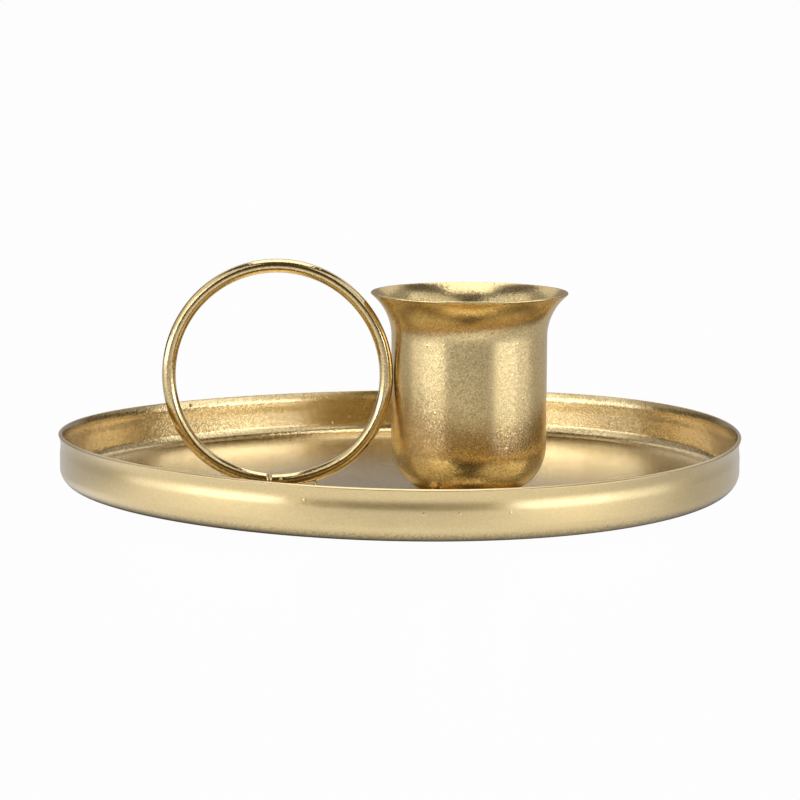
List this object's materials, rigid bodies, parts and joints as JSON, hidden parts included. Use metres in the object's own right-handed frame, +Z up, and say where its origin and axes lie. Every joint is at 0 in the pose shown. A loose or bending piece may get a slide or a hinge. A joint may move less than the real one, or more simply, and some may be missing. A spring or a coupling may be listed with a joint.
{
  "type": "candlestick",
  "caption": "Chamberstick: low round tray with an upright wall, a flared candle cup and an upright wire finger ring welded to it, gold lacquered metal.",
  "frame": {"origin": "centre of the tray's underside, on the table", "axes": "+Z up, along the tray's axis; +X from the ring handle towards the candle cup; +Y away from the side that the cup and ring stand nearer to"},
  "size_m": [0.11, 0.11, 0.0371],
  "materials": {
    "tray_gold": "satin gold lacquer on pressed steel, faintly scuffed",
    "cup_gold": "satin gold lacquer on drawn steel, fine metallic grain",
    "wire_gold": "satin gold lacquer on bent steel wire",
    "weld_gold": "gold lacquer over rough weld beads"
  },
  "bodies": {
    "root": {"tray": "tray_gold", "candle_cup": "cup_gold", "ring_handle": "wire_gold", "ring_seam_weld": "weld_gold", "ring_foot_weld_front": "weld_gold", "ring_foot_weld_rear": "weld_gold", "ring_side_weld": "weld_gold", "cup_tack_weld_front": "weld_gold", "cup_tack_weld_rear": "weld_gold"}
  },
  "joints": []
}
